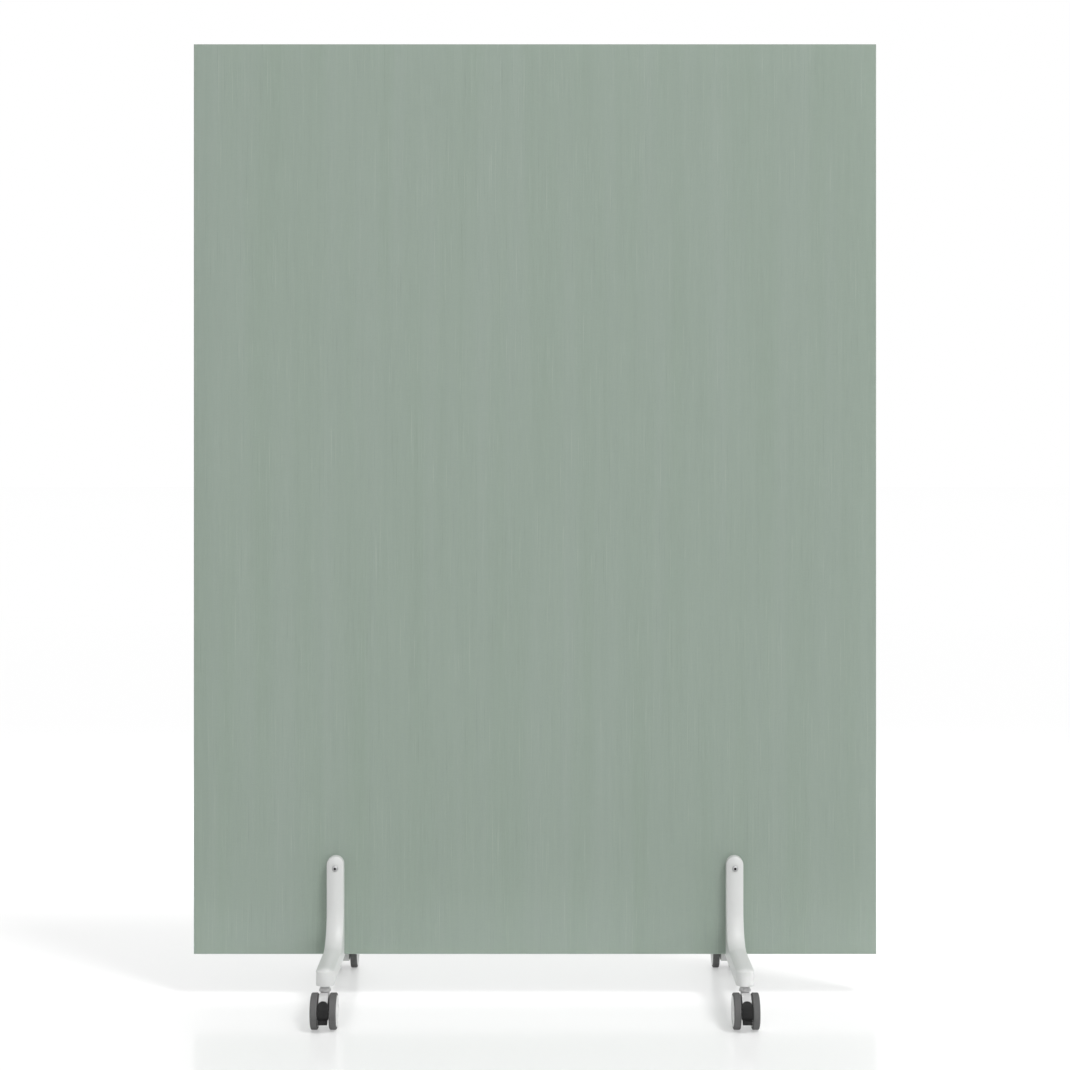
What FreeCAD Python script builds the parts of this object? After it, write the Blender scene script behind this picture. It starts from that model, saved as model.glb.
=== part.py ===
import FreeCAD, Part
import math
import os

# Free-standing room divider: a cloth-covered panel on two pairs of cast arms with twin-wheel casters.
# Millimetres. X runs to the right, Y away from the front, Z up.
# The origin is on the floor, in the middle of the wheels' footprint.

# Panel: a timber frame with a soft core, felt on both sides and a cloth over each half.
panel_width = 1200.0
panel_height = 1600.0
panel_thickness = 30.0
cloth_thickness = 1.0
felt_thickness = 4.0
rail_depth = 60.0
stud_width = 70.0
core_clearance = 0.5
spline_width = 4.0
spline_depth = 7.0

# Frame screws, sunk below the spline's groove.
frame_screw_radius = 2.25
frame_screw_head_radius = 3.8
frame_screw_head_length = 3.0
frame_screw_cover = 5.0
frame_screw_bite = 40.0
frame_screw_spacing = 36.0

# Cast arms: a crowned upright on the panel's face, a wide inside bend and a level beam with a round nose.
foot_spacing = 700.0
arm_width = 30.0
arm_height = 29.0
upright_thickness = 19.0
upright_rise = 174.5
crown_rise = 5.0
edge_round = 2.0
bend_radius = 60.0
stem_reach = 195.0
tongue_thickness = 4.0
tongue_gap = 2.0
arm_wall = 4.0
pocket_setback = 12.0
stem_boss_radius = 13.0

# Screws that hold the arms: a button head into a threaded sleeve, and a heel screw up into the bottom rail.
arm_screw_drop = 20.5
arm_screw_radius = 3.0
arm_screw_bite = 12.0
arm_screw_head_radius = 5.25
arm_screw_head_height = 3.3
arm_screw_head_rim = 0.6
arm_screw_socket = 4.0
arm_screw_socket_depth = 2.0
screw_hole_play = 0.3
spot_face_margin = 1.0
spot_face_depth = 1.0
sleeve_radius = 5.0
heel_screw_radius = 2.5
heel_screw_bite = 30.0
heel_screw_head_radius = 4.5
heel_screw_head_height = 2.6

# Caster stem: screwed into the arm above its flange, and a pivot for the hood below it.
stem_radius = 5.0
stem_length = 20.0
flange_radius = 7.0
flange_thickness = 2.5
pivot_radius = 4.0
pivot_length = 27.0
ring_radius = 5.2
ring_thickness = 1.0
ring_groove_depth = 0.8
ring_end_margin = 1.5
ring_opening = 3.0

# Caster hood and bearing cap.
trail = 15.0
hood_width = 15.0
hood_margin = 0.5
hood_floor_gap = 18.0
cap_height = 7.2
cap_radius = 10.0
cap_top_radius = 7.0
cap_rim = 2.5

# Twin wheels: a tyre on a hub that snaps onto the axle.
wheel_radius = 30.0
tyre_width = 12.0
tyre_gap = 19.0
tyre_depth = 4.5
tyre_shoulder = 2.5
axle_radius = 3.0
bead_height = 0.4
bead_length = 1.5
axle_end_wall = 3.0
hub_side_gap = 0.7
disc_proud = 0.8
disc_recess = 1.0
disc_rim = 3.5
disc_cap_radius = 8.0
disc_bevel = 0.8
hub_rim = 5.7
brake_ring_depth = 3.3

# Brake: a pedal that turns about the axle, and a bar that its cam slots push out against the hubs' rings.
pedal_width = 18.0
pedal_thickness = 3.5
pedal_top_angle = 45.0
pedal_arch = 5.5
lip_width = 16.0
lip_reach = 5.0
lip_top_angle = -14.0
lip_end_angle = -26.0
pedal_travel_angle = 12.0
pedal_slack_angle = 2.0
cheek_thickness = 2.0
cheek_top_angle = 30.0
cheek_end_angle = -24.0
cheek_eye_radius = 7.0
bar_radius = 2.0
bar_angle = 10.0
bar_travel = 2.5
bar_end_gap = 1.0
cam_clearance = 0.35

# Clearances shared by the fits.
running_clearance = 0.05
seat_clearance = 0.02
swivel_gap = 0.3
moving_gap = 0.4

# Places that follow from the sizes above.
timber_thickness = panel_thickness - 2 * (cloth_thickness + felt_thickness)
caster_height = 2 * wheel_radius + cap_height + swivel_gap + flange_thickness
panel_bottom = caster_height + tongue_thickness
panel_top = panel_bottom + panel_height
panel_middle = trail
panel_front = panel_middle - panel_thickness / 2
panel_back = panel_middle + panel_thickness / 2
foot_x = foot_spacing / 2
upright_top = panel_bottom + upright_rise
arm_screw_z = upright_top - arm_screw_drop
arm_edge_z = caster_height + arm_height - crown_rise
upright_edge = upright_thickness - crown_rise
bend_reach = upright_edge + bend_radius
bend_top = arm_edge_z + bend_radius
tongue_reach = (panel_thickness - tongue_gap) / 2
heel_offset = (spline_width + timber_thickness) / 4
screw_sink = spline_depth + frame_screw_cover
hub_radius = wheel_radius - tyre_depth
hub_inner = hood_width / 2 + hub_side_gap
tyre_inner = tyre_gap / 2
tyre_outer = tyre_inner + tyre_width
disc_face = tyre_outer + disc_proud
bore_end = disc_face - disc_recess - axle_end_wall
brake_ring_radius = hub_radius - hub_rim
bar_out_radius = brake_ring_radius - swivel_gap - bar_radius
bar_rest_radius = bar_out_radius - bar_travel
pedal_inner_radius = wheel_radius - pedal_thickness
cheek_outer = hub_inner - moving_gap
cheek_inner = cheek_outer - cheek_thickness
flange_bottom = caster_height - flange_thickness
pivot_end = flange_bottom - pivot_length
ring_bottom = pivot_end + ring_end_margin
ring_shoulder = ring_bottom + ring_thickness + swivel_gap

V = FreeCAD.Vector
RIGHT, AWAY, UP = V(1, 0, 0), V(0, 1, 0), V(0, 0, 1)
AXLE = V(0, -trail, wheel_radius)
SIDES = {"left": -1, "right": 1}
parts = {}


def box(x0, x1, y0, y1, z0, z1):
    """Block between two opposite corners."""
    return Part.makeBox(x1 - x0, y1 - y0, z1 - z0, V(x0, y0, z0))


def rod(radius, start, end):
    """Round bar between two points."""
    return Part.makeCylinder(radius, (end - start).Length, start, end - start)


def outline(place, start, *steps):
    """Flat face. A step is an end point, or an arc given by a point on it and its end point."""
    edges = []
    here = start
    for step in steps + (start,):
        if isinstance(step[0], tuple):
            through, end = step
            edges.append(Part.Arc(place(*here), place(*through), place(*end)).toShape())
        elif math.dist(here, step) > 1e-6:
            end = step
            edges.append(Part.LineSegment(place(*here), place(*end)).toShape())
        here = end
    return Part.Face(Part.Wire(edges))


def turned(origin, axis, radial, start, *steps):
    """Solid turned about an axis, from an outline of (radius, height) points."""
    section = outline(lambda radius, height: origin + radial * radius + axis * height, start, *steps)
    return section.revolve(origin, axis, 360)


def dome_drop(half_width, rise, across):
    """How far a round crown has fallen at a distance from its middle."""
    radius = (half_width**2 + rise**2) / (2 * rise)
    return radius - math.sqrt(radius**2 - across**2)


def joined(first, *others):
    """One solid from overlapping or touching ones, with no seams left on flat faces."""
    return first.fuse(list(others)).removeSplitter()


def crown_points(thickness):
    """Where the arm's crown, its rounded edge and its side meet, for a section of this thickness."""
    half = arm_width / 2
    crown_radius = (half**2 + crown_rise**2) / (2 * crown_rise)
    centre = thickness - crown_radius
    round_x = half - edge_round
    round_height = centre + math.sqrt((crown_radius - edge_round) ** 2 - round_x**2)
    lean = math.atan2(round_height - centre, round_x)
    on_crown = (crown_radius * math.cos(lean), centre + crown_radius * math.sin(lean))
    on_round = (round_x + edge_round * math.cos(lean / 2), round_height + edge_round * math.sin(lean / 2))
    mid_crown = (on_crown[0] / 2, thickness - dome_drop(half, crown_rise, on_crown[0] / 2))
    return half, round_height, on_round, on_crown, mid_crown


def mirrored(point):
    return (-point[0], point[1])


def full_section(thickness):
    """Outline steps of the arm's whole section, flat at the back and crowned at the front."""
    half, side, on_round, on_crown, _ = crown_points(thickness)
    return (
        (-half, 0.0),
        (half, 0.0),
        (half, side),
        (on_round, on_crown),
        ((0.0, thickness), mirrored(on_crown)),
        (mirrored(on_round), (-half, side)),
    )


def half_section(thickness):
    """Outline steps of the section's right half, to be turned into a round end."""
    half, side, on_round, on_crown, mid_crown = crown_points(thickness)
    return (0.0, 0.0), (half, 0.0), (half, side), (on_round, on_crown), (mid_crown, (0.0, thickness))


def pocket(near, far):
    """Round-ended hollow in the beam's underside, between two distances from the panel."""
    half = arm_width / 2 - arm_wall
    plan = outline(
        lambda x, reach: V(x, -reach, caster_height),
        (-half, near + half),
        ((0.0, near), (half, near + half)),
        (half, far - half),
        ((0.0, far), (-half, far - half)),
    )
    return plan.extrude(UP * (arm_height - crown_rise - arm_wall))


def arm_casting():
    """One arm, on a panel face at y = 0 and pointing towards -Y."""
    upright_section = outline(lambda x, out: V(x, -out, bend_top), *full_section(upright_thickness))
    end_z = upright_top - arm_width / 2
    upright = upright_section.extrude(UP * (end_z - bend_top))
    round_top = outline(lambda x, out: V(x, -out, end_z), *half_section(upright_thickness))
    round_top = round_top.revolve(UP * end_z, -AWAY, 180)
    bend = upright_section.revolve(V(0, -bend_reach, bend_top), -RIGHT, 90)
    beam_section = outline(lambda x, up: V(x, -bend_reach, caster_height + up), *full_section(arm_height))
    beam = beam_section.extrude(-AWAY * (stem_reach - bend_reach))
    nose = outline(lambda x, up: V(x, -stem_reach, caster_height + up), *half_section(arm_height))
    nose = nose.revolve(-AWAY * stem_reach, -UP, 180)
    behind_bend = bend_reach * (1 - math.sqrt(0.5))
    corner = outline(
        lambda reach, z: V(-arm_width / 2, -reach, z),
        (0.0, caster_height),
        (bend_reach, caster_height),
        (bend_reach, bend_top - bend_reach),
        ((behind_bend, bend_top - bend_reach + behind_bend), (0.0, bend_top)),
    ).extrude(RIGHT * arm_width)
    half = arm_width / 2
    tongue = box(-half, half, 0, tongue_reach, caster_height, panel_bottom)
    casting = joined(upright, round_top, bend, corner, beam, nose, tongue)

    rib = (pocket_setback + stem_reach - stem_boss_radius) / 2
    screw_at = UP * arm_screw_z
    spot = screw_at - AWAY * (upright_thickness - spot_face_depth)
    heel_at = V(0, panel_thickness / 2 - heel_offset, caster_height)
    stem_at = V(0, -stem_reach, caster_height)
    cuts = [
        pocket(pocket_setback, rib - arm_wall / 2),
        pocket(rib + arm_wall / 2, stem_reach - stem_boss_radius),
        rod(arm_screw_radius + screw_hole_play, screw_at, screw_at - AWAY * upright_thickness),
        rod(arm_screw_head_radius + spot_face_margin, spot, spot - AWAY * (spot_face_depth + crown_rise)),
        rod(heel_screw_radius + screw_hole_play, heel_at, heel_at + UP * tongue_thickness),
        rod(stem_radius + seat_clearance, stem_at, stem_at + UP * (stem_length + swivel_gap)),
    ]
    return casting.cut(cuts)


def arm_screw():
    """Button-head screw of one arm, in the same place as arm_casting."""
    seat = V(0, spot_face_depth - upright_thickness, arm_screw_z)
    length = upright_thickness - spot_face_depth + arm_screw_bite
    dome = arm_screw_head_height - arm_screw_head_rim
    half = arm_screw_head_radius / 2
    crown = dome_drop(arm_screw_head_radius, dome, half) - arm_screw_head_height
    blank = turned(
        seat,
        AWAY,
        RIGHT,
        (0.0, -arm_screw_head_height),
        ((half, crown), (arm_screw_head_radius, -arm_screw_head_rim)),
        (arm_screw_head_radius, 0.0),
        (arm_screw_radius, 0.0),
        (arm_screw_radius, length),
        (0.0, length),
    )
    corner = arm_screw_socket / math.sqrt(3)
    top = seat.y - arm_screw_head_height
    turns = [math.radians(60 * n) for n in range(6)]
    rim = [V(corner * math.sin(a), top, arm_screw_z + corner * math.cos(a)) for a in turns]
    socket = Part.Face(Part.makePolygon(rim + rim[:1])).extrude(AWAY * arm_screw_socket_depth)
    return blank.cut(socket)


def heel_screw():
    """Pan-head screw up through the tongue, in the same place as arm_casting."""
    seat = V(0, panel_thickness / 2 - heel_offset, caster_height)
    length = tongue_thickness + cloth_thickness + heel_screw_bite
    half = heel_screw_head_radius / 2
    crown = dome_drop(heel_screw_head_radius, heel_screw_head_height, half) - heel_screw_head_height
    return turned(
        seat,
        UP,
        RIGHT,
        (0.0, -heel_screw_head_height),
        ((half, crown), (heel_screw_head_radius, 0.0)),
        (heel_screw_radius, 0.0),
        (heel_screw_radius, length),
        (0.0, length),
    )


def at_foot(shape, side, end):
    """Copy of an arm's piece at the left or right foot, on the panel's front or back."""
    copy = shape.copy()
    if end == "rear":
        copy.rotate(V(0, 0, 0), UP, 180)
    copy.translate(V(SIDES[side] * foot_x, panel_front if end == "front" else panel_back, 0))
    return copy


def at_caster(shape, side, end):
    """Copy of a caster's piece, whose stem stands on x = y = 0, under the nose of an arm."""
    reach = panel_thickness / 2 + stem_reach
    y = panel_middle - reach if end == "front" else panel_middle + reach
    copy = shape.copy()
    copy.translate(V(SIDES[side] * foot_x, y, 0))
    return copy


def everywhere(place, shape):
    """Copies at all four feet, as one group of separate solids."""
    return Part.makeCompound([place(shape, side, end) for end in ("front", "rear") for side in SIDES])


# Screws that cross the timber, and the holes they leave.
def frame_screw(edge, inwards, length, play=0.0):
    """Countersunk screw from a point on the panel's edge; play widens it, with its way in, into its hole."""
    head = edge + inwards * screw_sink
    across = UP if abs(inwards.z) < 0.5 else RIGHT
    shank = frame_screw_radius + play
    rim = frame_screw_head_radius + play
    screw = turned(
        head,
        inwards,
        across,
        (0.0, 0.0),
        (rim, 0.0),
        (shank, frame_screw_head_length),
        (shank, length),
        (0.0, length),
    )
    return screw.fuse(rod(rim, edge, head)) if play else screw


def frame_screws(play=0.0):
    """Two screws at every joint of the frame."""
    length = rail_depth + cloth_thickness - screw_sink + frame_screw_bite
    rails = [panel_bottom + cloth_thickness + rail_depth / 2, panel_top - cloth_thickness - rail_depth / 2]
    screws = []
    for shift in (-frame_screw_spacing / 2, frame_screw_spacing / 2):
        for side in SIDES.values():
            for z in rails:
                edge = V(side * panel_width / 2, panel_middle, z + shift)
                screws.append(frame_screw(edge, RIGHT * -side, length, play))
            for z, inwards in ((panel_bottom, UP), (panel_top, -UP)):
                edge = V(side * foot_x + shift, panel_middle, z)
                screws.append(frame_screw(edge, inwards, length, play))
    return screws


# Panel
half_timber = timber_thickness / 2
frame_x = panel_width / 2 - cloth_thickness
frame_low = panel_bottom + cloth_thickness
frame_high = panel_top - cloth_thickness
bay_x = frame_x - rail_depth
bay_low = frame_low + rail_depth
bay_high = frame_high - rail_depth
stud_near = foot_x - stud_width / 2
stud_far = foot_x + stud_width / 2


def timber(x0, x1, z0, z1):
    return box(x0, x1, panel_middle - half_timber, panel_middle + half_timber, z0, z1)


def splines():
    """Four strips in a groove round the panel's edge, flush with the cloth."""
    low, high = panel_middle - spline_width / 2, panel_middle + spline_width / 2
    x = panel_width / 2
    inner = x - spline_depth
    return [
        box(-x, -inner, low, high, panel_bottom, panel_top),
        box(inner, x, low, high, panel_bottom, panel_top),
        box(-inner, inner, low, high, panel_bottom, panel_bottom + spline_depth),
        box(-inner, inner, low, high, panel_top - spline_depth, panel_top),
    ]


def felt(face, inwards):
    """Felt sheet under the cloth on one side."""
    outer = face + inwards * cloth_thickness
    inner = outer + inwards * felt_thickness
    return box(-frame_x, frame_x, min(outer, inner), max(outer, inner), frame_low, frame_high)


def cloth(face, inwards):
    """Cloth over one face and round its edges, as far as the spline."""
    seam = panel_middle - inwards * spline_width / 2
    lining = face + inwards * cloth_thickness
    x = panel_width / 2
    outside = box(-x, x, min(face, seam), max(face, seam), panel_bottom, panel_top)
    inside = box(-frame_x, frame_x, min(lining, seam), max(lining, seam), frame_low, frame_high)
    return outside.cut(inside)


def sleeve_rods(radius):
    """Round bars through the panel, where the arm screws meet."""
    ends = [(V(x, panel_front, arm_screw_z), V(x, panel_back, arm_screw_z)) for x in (-foot_x, foot_x)]
    return [rod(radius, front_end, back_end) for front_end, back_end in ends]


def heel_rods(radius):
    """Round bars up through the tongues into the bottom rail."""
    low, high = caster_height, panel_bottom + cloth_thickness + heel_screw_bite
    places = [(x, panel_middle + shift) for x in (-foot_x, foot_x) for shift in (-heel_offset, heel_offset)]
    return [rod(radius, V(x, y, low), V(x, y, high)) for x, y in places]


sleeve_holes = sleeve_rods(sleeve_radius + seat_clearance)
heel_holes = heel_rods(heel_screw_radius + seat_clearance)
timber_holes = splines() + frame_screws(play=seat_clearance) + sleeve_holes + heel_holes
frame_members = {
    "left_stile": timber(-frame_x, -bay_x, frame_low, frame_high),
    "right_stile": timber(bay_x, frame_x, frame_low, frame_high),
    "bottom_rail": timber(-bay_x, bay_x, frame_low, bay_low),
    "top_rail": timber(-bay_x, bay_x, bay_high, frame_high),
    "left_stud": timber(-stud_far, -stud_near, bay_low, bay_high),
    "right_stud": timber(stud_near, stud_far, bay_low, bay_high),
}
for name, member in frame_members.items():
    parts[name] = member.cut(timber_holes)
core_bays = [(-bay_x, -stud_far), (-stud_near, stud_near), (stud_far, bay_x)]
parts["acoustic_core"] = Part.makeCompound(
    [
        timber(x0 + core_clearance, x1 - core_clearance, bay_low + core_clearance, bay_high - core_clearance)
        for x0, x1 in core_bays
    ]
)
parts["front_felt"] = felt(panel_front, 1).cut(sleeve_holes)
parts["rear_felt"] = felt(panel_back, -1).cut(sleeve_holes)
parts["front_cloth"] = cloth(panel_front, 1).cut(sleeve_holes + heel_holes)
parts["rear_cloth"] = cloth(panel_back, -1).cut(sleeve_holes + heel_holes)
parts["edge_spline"] = Part.makeCompound(splines())
parts["frame_screws"] = Part.makeCompound(frame_screws())
threads = sleeve_rods(arm_screw_radius + running_clearance)
parts["sleeve_nuts"] = Part.makeCompound([sleeve.cut(threads) for sleeve in sleeve_rods(sleeve_radius)])

# Arms and their screws
arm = arm_casting()
for end in ("front", "rear"):
    for side in SIDES:
        parts[f"arm_{end}_{side}"] = at_foot(arm, side, end)
parts["arm_screws"] = everywhere(at_foot, arm_screw())
parts["heel_screws"] = everywhere(at_foot, heel_screw())


# Casters
def stem():
    """Stem with its flange against the arm, and the pivot that the hood turns on."""
    groove = pivot_radius - ring_groove_depth
    ring_top = ring_bottom + ring_thickness
    return turned(
        V(0, 0, 0),
        UP,
        RIGHT,
        (0.0, pivot_end),
        (pivot_radius, pivot_end),
        (pivot_radius, ring_bottom),
        (groove, ring_bottom),
        (groove, ring_top),
        (pivot_radius, ring_top),
        (pivot_radius, flange_bottom),
        (flange_radius, flange_bottom),
        (flange_radius, caster_height),
        (stem_radius, caster_height),
        (stem_radius, caster_height + stem_length),
        (0.0, caster_height + stem_length),
    )


def stem_ring():
    """Open ring in the pivot's groove, which keeps the hood on its stem."""
    low, high = UP * ring_bottom, UP * (ring_bottom + ring_thickness)
    inner = pivot_radius - ring_groove_depth + seat_clearance
    ring = rod(ring_radius, low, high).cut(rod(inner, low, high))
    half = ring_opening / 2
    return ring.cut(box(-half, half, 0, ring_radius, low.z, high.z))


def sector(x0, x1, inner, outer, low, high):
    """Block bent about the axle, between two radii and two angles above the trailing side's level."""
    lean = math.radians(low)
    out = V(0, -math.cos(lean), math.sin(lean))
    start = outline(
        lambda x, radius: AXLE + RIGHT * x + out * radius,
        (x0, inner),
        (x1, inner),
        (x1, outer),
        (x0, outer),
    )
    return start.revolve(AXLE, -RIGHT, high - low)


def about_axle(radius, x0, x1):
    return rod(radius, AXLE + RIGHT * x0, AXLE + RIGHT * x1)


def polar(radius, degrees):
    """Point beside the axle, at an angle above the trailing side's level."""
    lean = math.radians(degrees)
    return AXLE + V(0, -radius * math.cos(lean), radius * math.sin(lean))


def cross_slot(near, far, radius, half_length):
    """Round-ended slot along X, between two points beside the axle."""
    ends = [rod(radius, point - RIGHT * half_length, point + RIGHT * half_length) for point in (near, far)]
    side = (far - near).cross(RIGHT).normalize() * radius
    rim = [corner - RIGHT * half_length for corner in (near + side, far + side, far - side, near - side)]
    middle = Part.Face(Part.makePolygon(rim + rim[:1])).extrude(RIGHT * 2 * half_length)
    return joined(ends[0], ends[1], middle)


def under_arch(gap):
    """Room below the pedal's arched top edge, raised by a gap."""
    half = pedal_width / 2
    crest = polar(wheel_radius, pedal_top_angle).z + gap
    return outline(
        lambda x, z: V(x, AXLE.y, z),
        (-half, 0.0),
        (half, 0.0),
        (half, crest - pedal_arch),
        ((0.0, crest), (-half, crest - pedal_arch)),
    ).extrude(-AWAY * wheel_radius)


def hood(braked):
    """Body between the wheels, with the pivot's boss; a braked one is cut back for the pedal."""
    half = hood_width / 2
    top = 2 * wheel_radius
    disc = about_axle(wheel_radius - hood_margin, -half, half)
    boss = rod(half, UP * AXLE.z, UP * top)
    below = box(-half, half, AXLE.y - wheel_radius, AXLE.y + wheel_radius, 0, hood_floor_gap)
    cuts = [
        below,
        rod(pivot_radius + running_clearance, UP * ring_shoulder, UP * top),
        rod(ring_radius + moving_gap, V(0, 0, 0), UP * ring_shoulder),
        about_axle(axle_radius + seat_clearance, -half, half),
    ]
    if braked:
        open_top = pedal_top_angle + pedal_slack_angle
        open_end = lip_end_angle - pedal_travel_angle - pedal_slack_angle
        rim = pedal_inner_radius - moving_gap
        opening = sector(-half, half, rim, wheel_radius, open_end, open_top)
        cuts.append(opening.common(under_arch(moving_gap)))
        slot_radius = bar_radius + running_clearance
        rest, out = polar(bar_rest_radius, bar_angle), polar(bar_out_radius, bar_angle)
        cuts.append(cross_slot(rest, out, slot_radius, half))
        cheek_room = cheek_top_angle + pedal_slack_angle
        for x0, x1 in ((-half, moving_gap - cheek_inner), (cheek_inner - moving_gap, half)):
            cuts.append(sector(x0, x1, axle_radius, wheel_radius, open_end, cheek_room))
            cuts.append(about_axle(cheek_eye_radius + moving_gap, x0, x1))
    return disc.fuse(boss).cut(cuts).removeSplitter()


def bearing_cap():
    """Tapered cap on the hood's boss, under the stem's flange."""
    low = 2 * wheel_radius
    bore = pivot_radius + running_clearance
    return turned(
        V(0, 0, 0),
        UP,
        RIGHT,
        (bore, low),
        (cap_radius, low),
        (cap_radius, low + cap_rim),
        (cap_top_radius, low + cap_height),
        (bore, low + cap_height),
    )


def axle():
    """Pin through the hood, with a snap bead inside each hub."""
    tip = bore_end - swivel_gap
    bead = tip - bead_length
    radius = axle_radius + bead_height
    return turned(
        AXLE,
        RIGHT,
        UP,
        (0.0, -tip),
        (radius, -tip),
        (radius, -bead),
        (axle_radius, -bead),
        (axle_radius, bead),
        (radius, bead),
        (radius, tip),
        (0.0, tip),
    )


def hub(side):
    """Wheel disc with its blind bore, the ring that the brake bar presses on, and the rim under the tyre."""
    bore = axle_radius + running_clearance
    undercut = bore + bead_height
    bead = bore_end - swivel_gap - bead_length - swivel_gap
    ring_inner = bar_rest_radius - bar_radius - 2 * moving_gap
    recess = disc_face - disc_recess
    return turned(
        AXLE,
        RIGHT * side,
        UP,
        (bore, hub_inner),
        (ring_inner, hub_inner),
        (ring_inner, hub_inner + brake_ring_depth),
        (brake_ring_radius, hub_inner + brake_ring_depth),
        (brake_ring_radius, tyre_inner),
        (hub_radius, tyre_inner),
        (hub_radius, disc_face - disc_bevel),
        (hub_radius - disc_bevel, disc_face),
        (hub_radius - disc_rim, disc_face),
        (hub_radius - disc_rim - disc_bevel, recess),
        (disc_cap_radius + disc_bevel, recess),
        (disc_cap_radius, disc_face),
        (0.0, disc_face),
        (0.0, bore_end),
        (undercut, bore_end),
        (undercut, bead),
        (bore, bead),
    )


def tyre(side):
    """Tyre with rounded shoulders."""
    inner = hub_radius + seat_clearance
    bulge = tyre_shoulder * (1 - math.sqrt(0.5))
    low = wheel_radius - tyre_shoulder
    return turned(
        AXLE,
        RIGHT * side,
        UP,
        (inner, tyre_inner),
        (low, tyre_inner),
        ((wheel_radius - bulge, tyre_inner + bulge), (wheel_radius, tyre_inner + tyre_shoulder)),
        (wheel_radius, tyre_outer - tyre_shoulder),
        ((wheel_radius - bulge, tyre_outer - bulge), (low, tyre_outer)),
        (inner, tyre_outer),
    )


def brake_pedal():
    """Curved foot plate with a toe lip, and two cheeks that turn on the axle and carry the cam slots."""
    half = pedal_width / 2
    plate = sector(-half, half, pedal_inner_radius, wheel_radius, lip_top_angle, pedal_top_angle)
    plate = plate.common(under_arch(0.0))
    lip_half = lip_width / 2
    lip_rim = wheel_radius + lip_reach
    lip = sector(-lip_half, lip_half, pedal_inner_radius, lip_rim, lip_end_angle, lip_top_angle)
    cheek_rim = pedal_inner_radius + pedal_thickness / 2
    pieces = [lip]
    holes = [about_axle(axle_radius + running_clearance, -half, half)]
    for x0, x1 in ((-cheek_outer, -cheek_inner), (cheek_inner, cheek_outer)):
        pieces.append(sector(x0, x1, axle_radius, cheek_rim, cheek_end_angle, cheek_top_angle))
        pieces.append(about_axle(cheek_eye_radius, x0, x1))
    rest = polar(bar_rest_radius, bar_angle)
    pressed = polar(bar_out_radius, bar_angle + pedal_travel_angle)
    holes.append(cross_slot(rest, pressed, bar_radius + cam_clearance, half))
    return plate.fuse(pieces).cut(holes).removeSplitter()


def brake_bar():
    """Bar across the hood and both cheeks, whose ends lie in the hubs' rings."""
    half = hub_inner + brake_ring_depth - bar_end_gap
    place = polar(bar_rest_radius, bar_angle)
    return rod(bar_radius, place - RIGHT * half, place + RIGHT * half)


parts["caster_stems"] = everywhere(at_caster, stem())
parts["stem_rings"] = everywhere(at_caster, stem_ring())
for end in ("front", "rear"):
    for side, outwards in SIDES.items():
        pieces = {
            "hood": hood(braked=end == "front"),
            "bearing_cap": bearing_cap(),
            "axle": axle(),
        }
        for piece, shape in pieces.items():
            parts[f"{piece}_{end}_{side}"] = at_caster(shape, side, end)
        for wheel, away in (("outer", outwards), ("inner", -outwards)):
            parts[f"hub_{end}_{side}_{wheel}"] = at_caster(hub(away), side, end)
            parts[f"tyre_{end}_{side}_{wheel}"] = at_caster(tyre(away), side, end)
for side in SIDES:
    parts[f"brake_pedal_{side}"] = at_caster(brake_pedal(), side, "front")
    parts[f"brake_bar_{side}"] = at_caster(brake_bar(), side, "front")

os.makedirs("parts", exist_ok=True)
for name, shape in parts.items():
    shape.exportStep(f"parts/{name}.step")
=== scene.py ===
import math

import bpy
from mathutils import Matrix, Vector


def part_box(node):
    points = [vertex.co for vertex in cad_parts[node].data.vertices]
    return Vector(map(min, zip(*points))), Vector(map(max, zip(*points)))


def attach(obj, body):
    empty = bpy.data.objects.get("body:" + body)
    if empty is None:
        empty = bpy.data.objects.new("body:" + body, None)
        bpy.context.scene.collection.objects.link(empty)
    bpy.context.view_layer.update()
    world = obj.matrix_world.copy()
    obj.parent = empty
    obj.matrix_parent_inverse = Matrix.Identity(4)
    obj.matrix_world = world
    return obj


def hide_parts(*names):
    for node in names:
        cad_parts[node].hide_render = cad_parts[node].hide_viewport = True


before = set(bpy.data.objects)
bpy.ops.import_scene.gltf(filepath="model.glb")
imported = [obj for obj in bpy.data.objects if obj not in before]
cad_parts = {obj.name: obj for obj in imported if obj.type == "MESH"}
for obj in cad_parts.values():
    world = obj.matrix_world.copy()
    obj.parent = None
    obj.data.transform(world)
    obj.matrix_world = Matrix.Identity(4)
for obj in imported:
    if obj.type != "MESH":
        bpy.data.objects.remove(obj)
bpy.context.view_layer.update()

# Room divider on wheels: a cloth-covered panel on four cast arms with twin-wheel casters.
# Metres. X runs to the right along the panel, Y from the front to the back, Z up from the floor.


# Timber frame: planed softwood stiles, rails and studs, glued and screwed at their ends.
# Nothing of it shows on the finished panel, but it carries the felt, the cloth and the arms.
def srgb(red, green, blue):
    """Colour as it looks on a screen, from 0 to 255, as the linear colour that a shader takes."""
    shares = [value / 255 for value in (red, green, blue)]
    return [s / 12.92 if s <= 0.04045 else ((s + 0.055) / 1.055) ** 2.4 for s in shares] + [1.0]


def add(tree, kind, sockets=None, **settings):
    """One node in a tree, with its settings, and its sockets set to a value or linked."""
    node = tree.nodes.new(kind)
    for key, value in settings.items():
        setattr(node, key, value)
    for key, value in (sockets or {}).items():
        if isinstance(value, bpy.types.NodeSocket):
            tree.links.new(value, node.inputs[key])
        else:
            node.inputs[key].default_value = value
    return node


def blend_colour(tree, factor, first, second):
    """Colour between two others, by a factor from 0 to 1."""
    node = add(tree, "ShaderNodeMix", {0: factor, 6: first, 7: second}, data_type="RGBA")
    return node.outputs[2]


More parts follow.
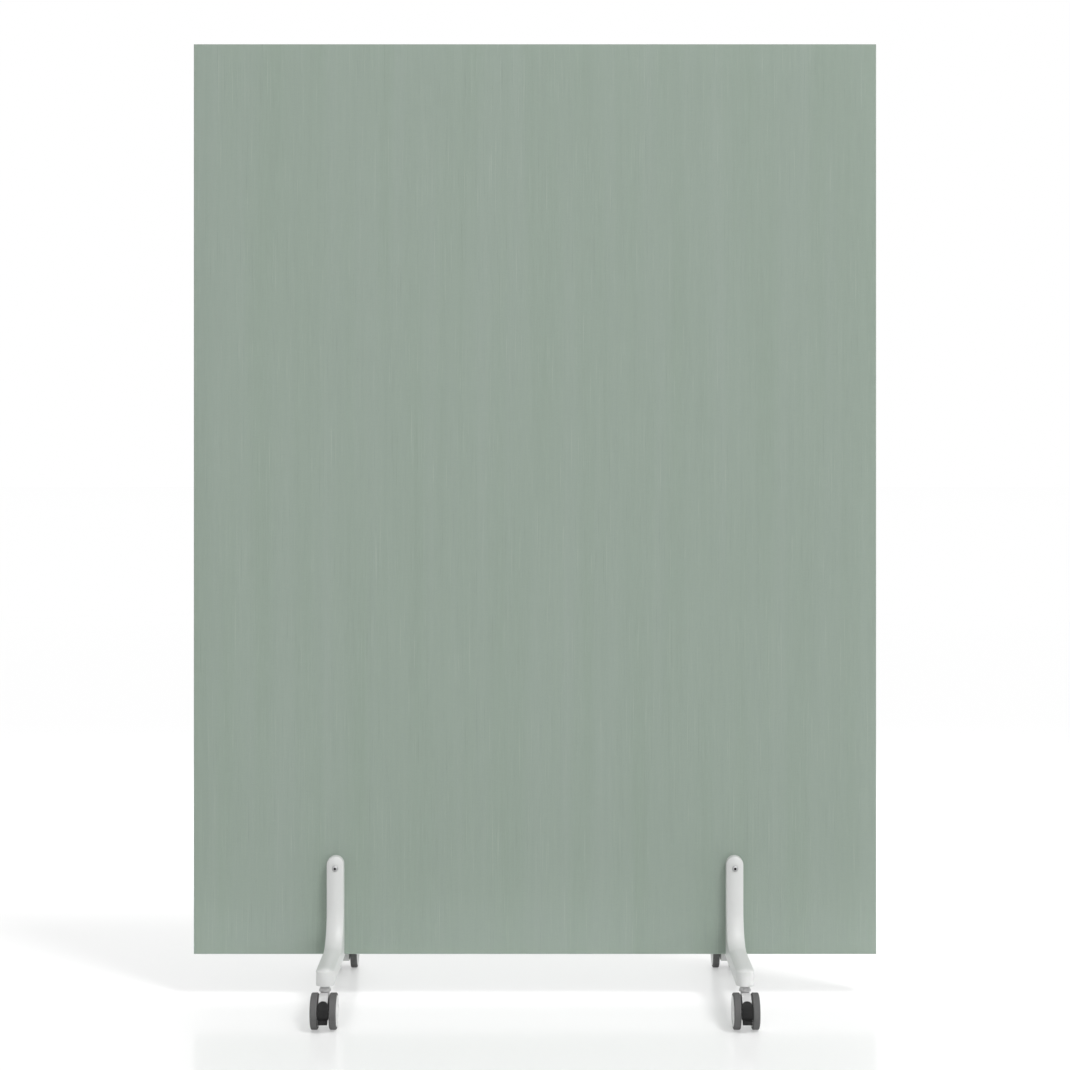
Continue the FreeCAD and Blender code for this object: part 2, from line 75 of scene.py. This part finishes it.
def spread(tree, value, low, high, new_low=0.0, new_high=1.0):
    """A value's range from low to high, stretched to a new range and cut off at its ends."""
    sockets = {"Value": value, "From Min": low, "From Max": high, "To Min": new_low, "To Max": new_high}
    return add(tree, "ShaderNodeMapRange", sockets).outputs[0]


def bump(tree, height, depth):
    """Normal of a surface whose height varies by up to a depth."""
    return add(tree, "ShaderNodeBump", {"Height": height, "Distance": depth, "Strength": 1.0}).outputs[0]


def place(tree, coordinates="Object"):
    """Place on the surface."""
    return add(tree, "ShaderNodeTexCoord").outputs[coordinates]


def new_finish(name, **sockets):
    """Material with its shader; the sockets given here are the same all over the surface."""
    material = bpy.data.materials.new(name)
    material.use_nodes = True
    shader = material.node_tree.nodes["Principled BSDF"]
    for key, value in sockets.items():
        shader.inputs[key.replace("_", " ")].default_value = value
    return material, material.node_tree, shader


def link(tree, shader, **sockets):
    """Links what varies over the surface to the shader."""
    for key, value in sockets.items():
        tree.links.new(value, shader.inputs[key.replace("_", " ")])


def new_group(name, inputs, outputs):
    """Shader node group with its sockets, and the nodes that hold them inside."""
    group = bpy.data.node_groups.new(name, "ShaderNodeTree")
    for socket, kind in inputs.items():
        group.interface.new_socket(socket, in_out="INPUT", socket_type=kind)
    for socket, kind in outputs.items():
        group.interface.new_socket(socket, in_out="OUTPUT", socket_type=kind)
    return group, group.nodes.new("NodeGroupInput"), group.nodes.new("NodeGroupOutput")


def use_group(tree, group, **sockets):
    """A node group placed in a material, as its outputs."""
    return add(tree, "ShaderNodeGroup", sockets, node_tree=group).outputs


# Noise drawn out along the second axis: grain in timber, slubs in cloth, brush marks on steel.
streaks, inside, outside = new_group(
    "streaks",
    {"Vector": "NodeSocketVector", "Across": "NodeSocketFloat", "Along": "NodeSocketFloat"},
    {"Value": "NodeSocketFloat"},
)
stretch = add(streaks, "ShaderNodeCombineXYZ", {axis: inside.outputs["Across"] for axis in "XZ"})
streaks.links.new(inside.outputs["Along"], stretch.inputs["Y"])
drawn = add(
    streaks,
    "ShaderNodeVectorMath",
    {0: inside.outputs["Vector"], 1: stretch.outputs[0]},
    operation="MULTIPLY",
)
fibres = add(streaks, "ShaderNodeTexNoise", {"Vector": drawn.outputs[0], "Scale": 1.0, "Detail": 3.0})
streaks.links.new(fibres.outputs["Fac"], outside.inputs["Value"])


def timber_finish(name, along_x):
    """Pale softwood with its grain along X or along Z."""
    late_wood, early_wood, pore = srgb(196, 160, 112), srgb(222, 192, 146), srgb(170, 130, 84)
    material, tree, shader = new_finish(name, Roughness=0.7)
    split = add(tree, "ShaderNodeSeparateXYZ", {0: place(tree)}).outputs
    across, along = (split["Z"], split["X"]) if along_x else (split["X"], split["Z"])
    board = add(tree, "ShaderNodeCombineXYZ", {"X": across, "Y": along, "Z": split["Y"]}).outputs[0]
    rings = use_group(tree, streaks, Vector=board, Across=160.0, Along=3.0)["Value"]
    pores = use_group(tree, streaks, Vector=board, Across=900.0, Along=40.0)["Value"]
    colour = blend_colour(tree, spread(tree, rings, 0.35, 0.65), late_wood, early_wood)
    colour = blend_colour(tree, spread(tree, pores, 0.58, 0.72), colour, pore)
    link(tree, shader, Base_Color=colour, Normal=bump(tree, pores, depth=0.0003))
    return material


def dress(material, *names):
    """Gives CAD nodes their finish."""
    for name in names:
        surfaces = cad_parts[name].data.materials
        surfaces.clear()
        surfaces.append(material)


dress(timber_finish("timber_upright", along_x=False), "left_stile", "right_stile", "left_stud", "right_stud")
dress(timber_finish("timber_rail", along_x=True), "top_rail", "bottom_rail")


# Core and felt: three blocks of pressed fibre fill the frame, and a needled felt sheet lies on each side.
# Both are pale, matt and full of loose fibres.
def fibre_finish(name, dark, light):
    """Tangled fibres, each a little darker or lighter than the next."""
    material, tree, shader = new_finish(name, Roughness=0.95, Sheen_Weight=0.2)
    tangle = add(tree, "ShaderNodeTexNoise", {"Vector": place(tree), "Scale": 450.0, "Detail": 6.0})
    tangle = tangle.outputs["Fac"]
    colour = blend_colour(tree, spread(tree, tangle, 0.3, 0.7), dark, light)
    link(tree, shader, Base_Color=colour, Normal=bump(tree, tangle, depth=0.0008))
    return material


dress(fibre_finish("core_fibre", srgb(150, 148, 140), srgb(186, 184, 176)), "acoustic_core")
dress(fibre_finish("felt", srgb(186, 186, 180), srgb(212, 212, 206)), "front_felt", "rear_felt")

# Cloth: one length of heavy woven cloth for each face, grey-green, with slubs that run from top to bottom.
# It is pulled over the felt, folded round the frame's edges and held in the groove there by the spline.
cloth_low, cloth_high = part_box("front_cloth")
panel_low, panel_high = cloth_low.copy(), cloth_high.copy()
panel_high.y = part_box("rear_cloth")[1].y
cloth_mid = (panel_low + panel_high) / 2
cloth_half = (panel_high - panel_low) / 2
cloth_turn = cloth_high.y - cloth_low.y
cloth_fold = 0.0022
cloth_gauge = 0.001
hair = 0.00001


def unfolded(depth):
    """Length of cloth from where the fold starts to a depth behind the face."""
    if depth < cloth_fold:
        return cloth_fold * math.acos(1 - depth / cloth_fold)
    return cloth_fold * (math.pi / 2 - 1) + depth


def cloth_uv(cloth, face):
    """Lays the cloth out flat, in metres, with its turned edges beyond its face."""
    flat = cloth.data.uv_layers.active.data
    for polygon in cloth.data.polygons:
        centre = polygon.center - cloth_mid
        on_side = cloth_half.x - abs(centre.x) < cloth_half.z - abs(centre.z)
        for index in polygon.loop_indices:
            point = cloth.data.vertices[cloth.data.loops[index].vertex_index].co
            depth = abs(point.y - face)
            u, v = point.x - cloth_mid.x, point.z - cloth_mid.z
            if depth > hair and on_side:
                u = math.copysign(cloth_half.x - cloth_fold + unfolded(depth), u)
            elif depth > hair:
                v = math.copysign(cloth_half.z - cloth_fold + unfolded(depth), v)
            flat[index].uv = (u, v)


def stretched_cloth(name, face, seam):
    """Cloth over one face of the panel, from its fold round the edges to the seam at the spline."""
    bpy.ops.object.select_all(action="DESELECT")
    bpy.ops.mesh.primitive_grid_add(
        x_subdivisions=24,
        y_subdivisions=32,
        size=1,
        location=(cloth_mid.x, face, cloth_mid.z),
        rotation=(math.pi / 2, 0, 0),
    )
    cloth = bpy.context.object
    cloth.name = cloth.data.name = name
    cloth.scale = (2 * cloth_half.x, 2 * cloth_half.z, 1)
    bpy.ops.object.transform_apply()
    bpy.ops.object.mode_set(mode="EDIT")
    bpy.ops.mesh.select_mode(type="EDGE")
    bpy.ops.mesh.select_all(action="SELECT")
    bpy.ops.mesh.region_to_loop()
    bpy.ops.mesh.extrude_region_move(TRANSFORM_OT_translate={"value": (0, seam - face, 0)})
    bpy.ops.mesh.select_all(action="DESELECT")
    bpy.ops.mesh.edges_select_sharp(sharpness=math.radians(60))
    bpy.ops.object.mode_set(mode="OBJECT")
    for edge in cloth.data.edges:
        first, last = (cloth.data.vertices[vertex].co.y for vertex in edge.vertices)
        edge.select = edge.select and abs(first - last) < hair
    bpy.ops.object.mode_set(mode="EDIT")
    bpy.ops.mesh.bevel(offset=cloth_fold, segments=4, affect="EDGES")
    bpy.ops.mesh.select_all(action="SELECT")
    bpy.ops.mesh.normals_make_consistent(inside=False)
    bpy.ops.object.mode_set(mode="OBJECT")
    cloth_uv(cloth, face)
    gauge = cloth.modifiers.new("gauge", "SOLIDIFY")
    gauge.thickness = cloth_gauge
    gauge.offset = -1
    bpy.ops.object.modifier_apply(modifier=gauge.name)
    bpy.ops.object.shade_smooth_by_angle(angle=math.radians(40))
    return cloth


def maths(tree, operation, first, second=0.0):
    """One sum in a shader."""
    return add(tree, "ShaderNodeMath", {0: first, 1: second}, operation=operation).outputs[0]


# Plain weave: warp threads up the cloth and weft threads across it, each over and under by turns.
# Warp and Weft give one place across each thread, so that a thread keeps its tone over its width.
weave, inside, outside = new_group(
    "plain_weave",
    {"Vector": "NodeSocketVector", "Pitch": "NodeSocketFloat"},
    {"Height": "NodeSocketFloat", "Warp": "NodeSocketVector", "Weft": "NodeSocketVector"},
)
pitch = inside.outputs["Pitch"]
split = add(weave, "ShaderNodeSeparateXYZ", {0: inside.outputs["Vector"]}).outputs
waves = []
for axis in "XY":
    turns = maths(weave, "MULTIPLY", maths(weave, "DIVIDE", split[axis], pitch), math.pi)
    waves.append(maths(weave, "SINE", turns))
swells = [maths(weave, "ABSOLUTE", wave) for wave in waves]
flats = [maths(weave, "POWER", swell, 0.3) for swell in swells]
warp_over = maths(weave, "MULTIPLY", swells[0], flats[1])
weft_over = maths(weave, "MULTIPLY", swells[1], flats[0])
over = maths(weave, "GREATER_THAN", maths(weave, "MULTIPLY", *waves))
height = add(weave, "ShaderNodeMix", {0: over, 2: weft_over, 3: warp_over}).outputs[0]
warp_line = maths(weave, "SNAP", split["X"], pitch)
weft_line = maths(weave, "SNAP", split["Y"], pitch)
warp_place = add(weave, "ShaderNodeCombineXYZ", {"X": warp_line, "Y": split["Y"]}).outputs[0]
weft_place = add(weave, "ShaderNodeCombineXYZ", {"X": weft_line, "Y": split["X"]}).outputs[0]
for output, value in (("Height", height), ("Warp", warp_place), ("Weft", weft_place)):
    weave.links.new(value, outside.inputs[output])

# The dye drifts across the width, and strie, slubs and single threads lie over it, with painted shade in the
# low points of the weave.
# Each tone has its pattern, the values at which it starts and is full, its share then, and its colour.
cloth_finish, tree, shader = new_finish("cloth", Roughness=0.92, Sheen_Weight=0.15, Sheen_Roughness=0.6)
laid = place(tree, "UV")
woven = use_group(tree, weave, Vector=laid, Pitch=0.0011)
dye = use_group(tree, streaks, Vector=laid, Across=26.0, Along=0.7)["Value"]
strie = use_group(tree, streaks, Vector=laid, Across=75.0, Along=2.2)["Value"]
slubs = use_group(tree, streaks, Vector=laid, Across=150.0, Along=15.0)["Value"]
threads = use_group(tree, streaks, Vector=woven["Warp"], Across=420.0, Along=6.0)["Value"]
warp = use_group(tree, streaks, Vector=woven["Warp"], Across=900.0, Along=26.0)["Value"]
weft = use_group(tree, streaks, Vector=woven["Weft"], Across=900.0, Along=60.0)["Value"]
colour = blend_colour(tree, spread(tree, dye, 0.3, 0.7), srgb(147, 162, 149), srgb(153, 166, 156))
for pattern, start, full, share, tone in (
    (strie, 0.5, 0.75, 0.1, srgb(164, 177, 166)),
    (strie, 0.5, 0.25, 0.1, srgb(134, 147, 138)),
    (slubs, 0.5, 0.75, 0.07, srgb(170, 183, 172)),
    (slubs, 0.5, 0.25, 0.07, srgb(128, 141, 132)),
    (warp, 0.3, 0.7, 0.14, srgb(162, 175, 165)),
    (threads, 0.62, 0.76, 0.3, srgb(183, 195, 184)),
    (threads, 0.37, 0.25, 0.22, srgb(121, 134, 125)),
    (weft, 0.35, 0.7, 0.1, srgb(134, 147, 138)),
    # painted shade: the low points between crossing threads are darkened, standing in for the shade there
    (woven["Height"], 0.7, 0.0, 0.22, srgb(112, 124, 115)),
):
    colour = blend_colour(tree, spread(tree, pattern, start, full, 0.0, share), colour, tone)
relief = maths(tree, "ADD", maths(tree, "ADD", woven["Height"], slubs), threads)
link(tree, shader, Base_Color=colour, Normal=bump(tree, relief, depth=0.00022))

for name, face, seam in (
    ("front_cloth", cloth_low.y, cloth_high.y),
    ("rear_cloth", panel_high.y, panel_high.y - cloth_turn),
):
    cloth = stretched_cloth(f"{name}_sheet", face, seam)
    cloth.data.materials.append(cloth_finish)
    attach(cloth, "screen")
    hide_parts(name)

# Edge spline: a strip of soft plastic in a groove round the panel, flush with the cloth on both sides.
# It is moulded in the cloth's colour, with a fine grain.
grain, inside, outside = new_group(
    "moulded_grain",
    {"Vector": "NodeSocketVector", "Pitch": "NodeSocketFloat"},
    {"Fine": "NodeSocketFloat", "Cloudy": "NodeSocketFloat"},
)
for output, share, detail in (("Fine", 1.0, 2.0), ("Cloudy", 0.02, 4.0)):
    scale = maths(grain, "DIVIDE", share, inside.outputs["Pitch"])
    sockets = {"Vector": inside.outputs["Vector"], "Scale": scale, "Detail": detail}
    noise = add(grain, "ShaderNodeTexNoise", sockets)
    grain.links.new(noise.outputs["Fac"], outside.inputs[output])


def moulded_finish(name, dark, light, roughness, pitch=0.0006, depth=0.00006, **sockets):
    """Moulded plastic or coat: cloudy colour, a fine grain and a gloss that varies with the clouds."""
    material, tree, shader = new_finish(name, **sockets)
    skin = use_group(tree, grain, Vector=place(tree), Pitch=pitch)
    colour = blend_colour(tree, spread(tree, skin["Cloudy"], 0.3, 0.7), srgb(*dark), srgb(*light))
    gloss = spread(tree, skin["Cloudy"], 0.3, 0.7, roughness - 0.06, roughness + 0.06)
    link(tree, shader, Base_Color=colour, Roughness=gloss, Normal=bump(tree, skin["Fine"], depth))
    return material


dress(moulded_finish("spline", (141, 153, 143), (147, 159, 149), roughness=0.6), "edge_spline")

# Screws, sleeves, stems, axles and brake bars: bright zinc-plated steel, turned or cold-headed.
# They join the timbers, the arms and the casters, and most of them are hidden by what they hold.
SIDES = ("left", "right")
FEET = [f"{end}_{side}" for end in ("front", "rear") for side in SIDES]
steel, tree, shader = new_finish("zinc_steel", Metallic=1.0)
marks = use_group(tree, streaks, Vector=place(tree), Across=2500.0, Along=300.0)["Value"]
colour = blend_colour(tree, marks, srgb(168, 168, 170), srgb(204, 204, 206))
link(tree, shader, Base_Color=colour, Roughness=spread(tree, marks, 0.2, 0.8, 0.24, 0.42))
dress(steel, "frame_screws", "sleeve_nuts", "heel_screws", "caster_stems", "stem_rings")
dress(steel, *[f"axle_{foot}" for foot in FEET], *[f"brake_bar_{side}" for side in SIDES])

# Arm screws: button heads with a dull zinc finish, whose hexagon sockets are painted near-black for the
# shade inside them.
# Each one goes through the top of an arm's upright into a threaded sleeve in the panel.
screw_low, screw_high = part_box("arm_screws")
screw_radius = (screw_high.z - screw_low.z) / 2
screw_x = screw_high.x - screw_radius
screw_z = screw_low.z + screw_radius
socket_radius = 0.0021
socket_edge = 0.0002
screw_finish, tree, shader = new_finish("screw_zinc", Metallic=0.9, Roughness=0.55)
split = add(tree, "ShaderNodeSeparateXYZ", {0: place(tree)}).outputs
across = maths(tree, "SUBTRACT", maths(tree, "ABSOLUTE", split["X"]), screw_x)
upwards = maths(tree, "SUBTRACT", split["Z"], screw_z)
radial = add(tree, "ShaderNodeCombineXYZ", {"X": across, "Y": upwards}).outputs[0]
radius = add(tree, "ShaderNodeVectorMath", {0: radial}, operation="LENGTH").outputs["Value"]
marks = use_group(tree, streaks, Vector=place(tree), Across=2500.0, Along=300.0)["Value"]
head = blend_colour(tree, marks, srgb(170, 170, 171), srgb(194, 194, 195))
# Painted shade: within the socket radius the head is painted near-black, standing in for the shade in the
# hexagon recess.
socket_shade = spread(tree, radius, socket_radius, socket_radius + socket_edge, 1.0, 0.0)
link(tree, shader, Base_Color=blend_colour(tree, socket_shade, head, srgb(16, 16, 16)))
dress(screw_finish, "arm_screws")

# Arms: cast metal with a white powder coat, screwed to the panel's face and up into its bottom rail.
# The coat is satin, with the faint orange peel of a baked powder.
coat = moulded_finish(
    "white_coat", (205, 206, 205), (209, 210, 209), roughness=0.42, pitch=0.0022, depth=0.00004
)
dress(coat, *[f"arm_{foot}" for foot in FEET])

# Caster hoods and bearing caps: moulded nylon in light grey, with a little more gloss on the caps.
# A cap sits on each stem under the arm's nose, and the hood turns on the stem below it.
hood_finish = moulded_finish("grey_nylon", (191, 191, 191), (198, 198, 198), roughness=0.45)
cap_finish = moulded_finish("cap_grey", (191, 191, 191), (198, 198, 198), roughness=0.4)
dress(hood_finish, *[f"hood_{foot}" for foot in FEET])
dress(cap_finish, *[f"bearing_cap_{foot}" for foot in FEET])

# Wheels: light grey nylon hubs with a recessed disc, and dark grey tyres pressed on.
# Each hub snaps onto one end of its caster's axle and turns on it by itself.
WHEELS = [f"{foot}_{wheel}" for foot in FEET for wheel in ("outer", "inner")]
disc_finish = moulded_finish("disc_grey", (211, 211, 211), (217, 217, 217), roughness=0.45)
tyre_finish = moulded_finish(
    "tyre_grey", (86, 86, 86), (93, 93, 93), roughness=0.75, pitch=0.0012, depth=0.0001
)
dress(disc_finish, *[f"hub_{wheel}" for wheel in WHEELS])
dress(tyre_finish, *[f"tyre_{wheel}" for wheel in WHEELS])

# Brake pedals: black nylon with a fine spark-eroded grain, on the front casters alone.
# Each one turns about the axle between the two wheels and pushes the brake bar.
pedal_finish = moulded_finish(
    "pedal_black", (27, 27, 27), (33, 33, 33), roughness=0.58, Specular_IOR_Level=0.2
)
dress(pedal_finish, *[f"brake_pedal_{side}" for side in SIDES])

# Floor: a plain white sheet with a faint gloss.
# The camera, and gloss on the object, see it lightened, so that its shadows are pale and it ends in white.
floor_size = 80.0
floor_shade = 0.56
floor_gloss = 0.14
floor_near = 3.0
floor_far = 9.0
bpy.ops.object.select_all(action="DESELECT")
bpy.ops.mesh.primitive_plane_add(size=floor_size)
floor = bpy.context.object
floor.name = "floor"


def seen_directly(tree):
    """1 for what is seen straight, in gloss or through glass, and 0 for rays that only carry light."""
    ray = add(tree, "ShaderNodeLightPath").outputs
    straight = maths(tree, "MAXIMUM", ray["Is Camera Ray"], ray["Is Glossy Ray"])
    return maths(tree, "MAXIMUM", straight, ray["Is Transmission Ray"])


def mix_shader(tree, factor, first, second):
    """Shader between two others, by a factor from 0 to 1."""
    return add(tree, "ShaderNodeMixShader", {0: factor, 1: first, 2: second}).outputs[0]


white = srgb(255, 255, 255)
floor_finish, tree, shader = new_finish(
    "floor", Base_Color=srgb(254, 254, 254), Roughness=1.0, Specular_IOR_Level=0.0
)
matt = shader.outputs[0]
pale = add(tree, "ShaderNodeEmission", {"Color": white, "Strength": 1.0}).outputs[0]
mirror = add(tree, "ShaderNodeBsdfGlossy", {"Color": white, "Roughness": 0.15}).outputs[0]
away = add(tree, "ShaderNodeVectorMath", {0: place(tree)}, operation="LENGTH").outputs["Value"]
shade = spread(tree, away, floor_near, floor_far, floor_shade, 0.0)
shown = mix_shader(tree, floor_gloss, mix_shader(tree, shade, pale, matt), mirror)
surface = mix_shader(tree, seen_directly(tree), matt, shown)
tree.links.new(surface, tree.nodes["Material Output"].inputs["Surface"])
floor.data.materials.append(floor_finish)

# Light: an even white room, brighter on the right, and a soft key light from the upper right.
# One lamp on that side shades the panel across, one behind it lifts the shade under it, and a low one
# with a grid lights the feet from the front.
ambient = 0.68
lean_right = 0.4
key_strength = 1.08
key_softness = math.radians(12)
key_azimuth = math.radians(47)
key_elevation = math.radians(60)
scene = bpy.context.scene
scene.view_settings.view_transform = "Standard"
world = bpy.data.worlds.new("studio")
scene.world = world
world.use_nodes = True
tree = world.node_tree
tree.nodes.clear()
sideways = add(tree, "ShaderNodeSeparateXYZ", {0: place(tree, "Generated")}).outputs["X"]
level = maths(tree, "ADD", maths(tree, "MULTIPLY", sideways, ambient * lean_right), ambient)
room = add(tree, "ShaderNodeBackground", {"Color": white, "Strength": level}).outputs[0]
backdrop = add(tree, "ShaderNodeBackground", {"Color": white, "Strength": 1.0}).outputs[0]
add(tree, "ShaderNodeOutputWorld", {"Surface": mix_shader(tree, seen_directly(tree), room, backdrop)})


def pointing(towards_lamp):
    """Turn of a lamp whose light comes from a direction."""
    return towards_lamp.to_track_quat("Z", "Y").to_euler()


def softbox(name, at, aim, width, height, power, grid=math.pi):
    """Rectangular lamp at a place, aimed at another, with a grid that narrows its beam to an angle."""
    bpy.ops.object.light_add(type="AREA", location=at, rotation=pointing(Vector(at) - Vector(aim)))
    lamp = bpy.context.object
    lamp.name = name
    lamp.data.shape = "RECTANGLE"
    lamp.data.size = width
    lamp.data.size_y = height
    lamp.data.energy = power
    lamp.data.spread = grid


key_from = Vector((math.sin(key_azimuth), -math.cos(key_azimuth), math.tan(key_elevation)))
bpy.ops.object.light_add(type="SUN", location=key_from, rotation=pointing(key_from))
key = bpy.context.object
key.name = "key_light"
key.data.energy = key_strength
key.data.angle = key_softness
softbox("side_lamp", at=(1.8, -2.2, 3.6), aim=(0, 0, 1.2), width=1.0, height=1.0, power=22)
softbox("back_lamp", at=(0, 2.0, 1.7), aim=(0, 0.2, 0), width=3.0, height=1.0, power=22)
softbox(
    "low_lamp",
    at=(0.5, -2.6, 0.12),
    aim=(0, 0, 0.05),
    width=1.6,
    height=0.2,
    power=0.13,
    grid=math.radians(6),
)

# Camera: level, straight in front of the panel, with its frame shifted down to the photograph's.
# The shift is no larger than that needs, so that views from other sides keep the whole panel.
camera_reach = 3.783
camera_height = 0.9802
camera_lens = 72.41
camera_shift = -0.09
bpy.ops.object.camera_add(location=(0, -camera_reach, camera_height), rotation=(math.pi / 2, 0, 0))
camera = bpy.context.object
camera.data.lens = camera_lens
camera.data.shift_y = camera_shift
scene.camera = camera
